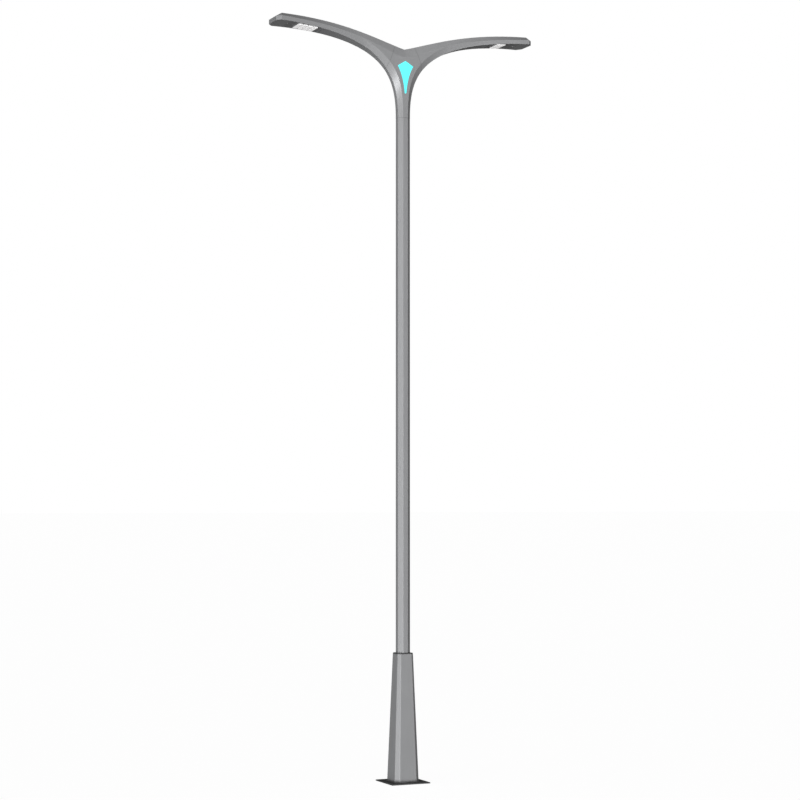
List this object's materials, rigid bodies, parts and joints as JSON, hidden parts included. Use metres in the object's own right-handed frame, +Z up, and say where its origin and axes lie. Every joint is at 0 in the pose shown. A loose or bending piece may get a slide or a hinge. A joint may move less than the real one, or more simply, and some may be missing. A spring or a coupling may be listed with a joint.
{
  "type": "street lamp post",
  "caption": "Tall twin-arm LED street lamp: square base column with service door, octagonal pole, forked crown with lit kite panels, curved arms with flat heads.",
  "frame": {"origin": "centre of the anchor plate's underside, on the ground", "axes": "+Z up the pole, X along the two arms, +Y out of the service door"},
  "size_m": [2.946, 0.43, 7.9377],
  "materials": {
    "grey_paint": "satin light-grey powder coat",
    "dark_paint": "satin dark-grey powder coat",
    "galvanised": "zinc coated steel",
    "fastener_steel": "stainless steel",
    "mill_aluminium": "plain extruded aluminium",
    "brass": "turned brass",
    "seal_rubber": "black sealing rubber",
    "cable_sheath": "black cable sheath",
    "backboard": "sealed plywood board",
    "dark_plastic": "dark moulded plastic",
    "grey_plastic": "grey moulded plastic",
    "fuse_plastic": "ivory moulded plastic",
    "cyan_lens": "lit diffusing plastic",
    "circuit_board": "white circuit board",
    "lamp_lens": "white diffusing lens"
  },
  "bodies": {
    "post": {"base_plate": "dark_paint", "earth_stud": "brass", "base_column": "grey_paint", "column_cap": "dark_paint", "pole_seat": "galvanised", "pole_foot": "galvanised", "pole_bolts": "fastener_steel", "pole": "grey_paint", "door_frame": "galvanised", "door_seal": "seal_rubber", "hinge_leaves": "grey_paint", "hinge_pins": "fastener_steel", "board_spacers": "galvanised", "equipment_board": "backboard", "cutout_base": "dark_plastic", "cutout_cover": "grey_plastic", "riser_cable": "cable_sheath", "crown_spigot": "mill_aluminium", "crown_screws": "fastener_steel", "junction_box": "dark_plastic", "crown": "grey_paint", "kite_seals": "seal_rubber", "kite_lens_front": "cyan_lens", "kite_lens_back": "cyan_lens", "kite_frames": "galvanised", "kite_boards": "circuit_board", "kite_screws": "fastener_steel", "arm_left": "grey_paint", "arm_right": "grey_paint", "arm_sleeve_left": "mill_aluminium", "arm_sleeve_right": "mill_aluminium", "sleeve_screws": "fastener_steel", "arm_cable_left": "cable_sheath", "arm_cable_right": "cable_sheath", "driver_left": "mill_aluminium", "driver_right": "mill_aluminium", "tray_frame_left": "galvanised", "tray_frame_right": "galvanised", "tray_hinge_left": "galvanised", "tray_hinge_right": "galvanised", "tray_seal_left": "seal_rubber", "tray_seal_right": "seal_rubber", "tray_pin_left": "fastener_steel", "tray_pin_right": "fastener_steel"},
    "door": {"door": "grey_paint", "lock_body": "fastener_steel"},
    "lock": {"lock_cam": "galvanised"},
    "fuse_carrier": {"fuse_carrier": "fuse_plastic"},
    "tray_left": {"tray_left": "dark_paint", "heat_sink_left": "mill_aluminium", "led_boards_left": "circuit_board", "led_blocks_left": "lamp_lens"},
    "tray_right": {"tray_right": "dark_paint", "heat_sink_right": "mill_aluminium", "led_boards_right": "circuit_board", "led_blocks_right": "lamp_lens"},
    "latch_left": {"latch_left": "fastener_steel"},
    "latch_right": {"latch_right": "fastener_steel"}
  },
  "joints": [
    {"name": "door_hinge", "type": "hinge", "parent": "post", "child": "door", "pos_m": [-0.057, 0.12086, 0.64023], "axis": [0, -0.0373, 0.9993], "range_deg": [0, 110]},
    {"name": "door_lock", "type": "hinge", "parent": "door", "child": "lock", "pos_m": [0.035, 0.11457, 0.64], "axis": [0, 0.9993, 0.0373], "range_deg": [0, 90]},
    {"name": "fuse_carrier_pull", "type": "slide", "parent": "post", "child": "fuse_carrier", "axis": [0, 0.9993, -0.0373], "range_m": [0, 0.04]},
    {"name": "tray_hinge_left", "type": "hinge", "parent": "post", "child": "tray_left", "pos_m": [-0.955, 0, 7.81987], "axis": [0, -1, 0], "range_deg": [0, 70]},
    {"name": "tray_hinge_right", "type": "hinge", "parent": "post", "child": "tray_right", "pos_m": [0.955, 0, 7.81987], "axis": [0, 1, 0], "range_deg": [0, 70]},
    {"name": "latch_left_turn", "type": "hinge", "parent": "tray_left", "child": "latch_left", "pos_m": [-1.305, 0, 7.85188], "axis": [0.0471, 0, 0.9989], "range_deg": [0, 90]},
    {"name": "latch_right_turn", "type": "hinge", "parent": "tray_right", "child": "latch_right", "pos_m": [1.305, 0, 7.85188], "axis": [-0.0471, 0, 0.9989], "range_deg": [0, 90]}
  ]
}
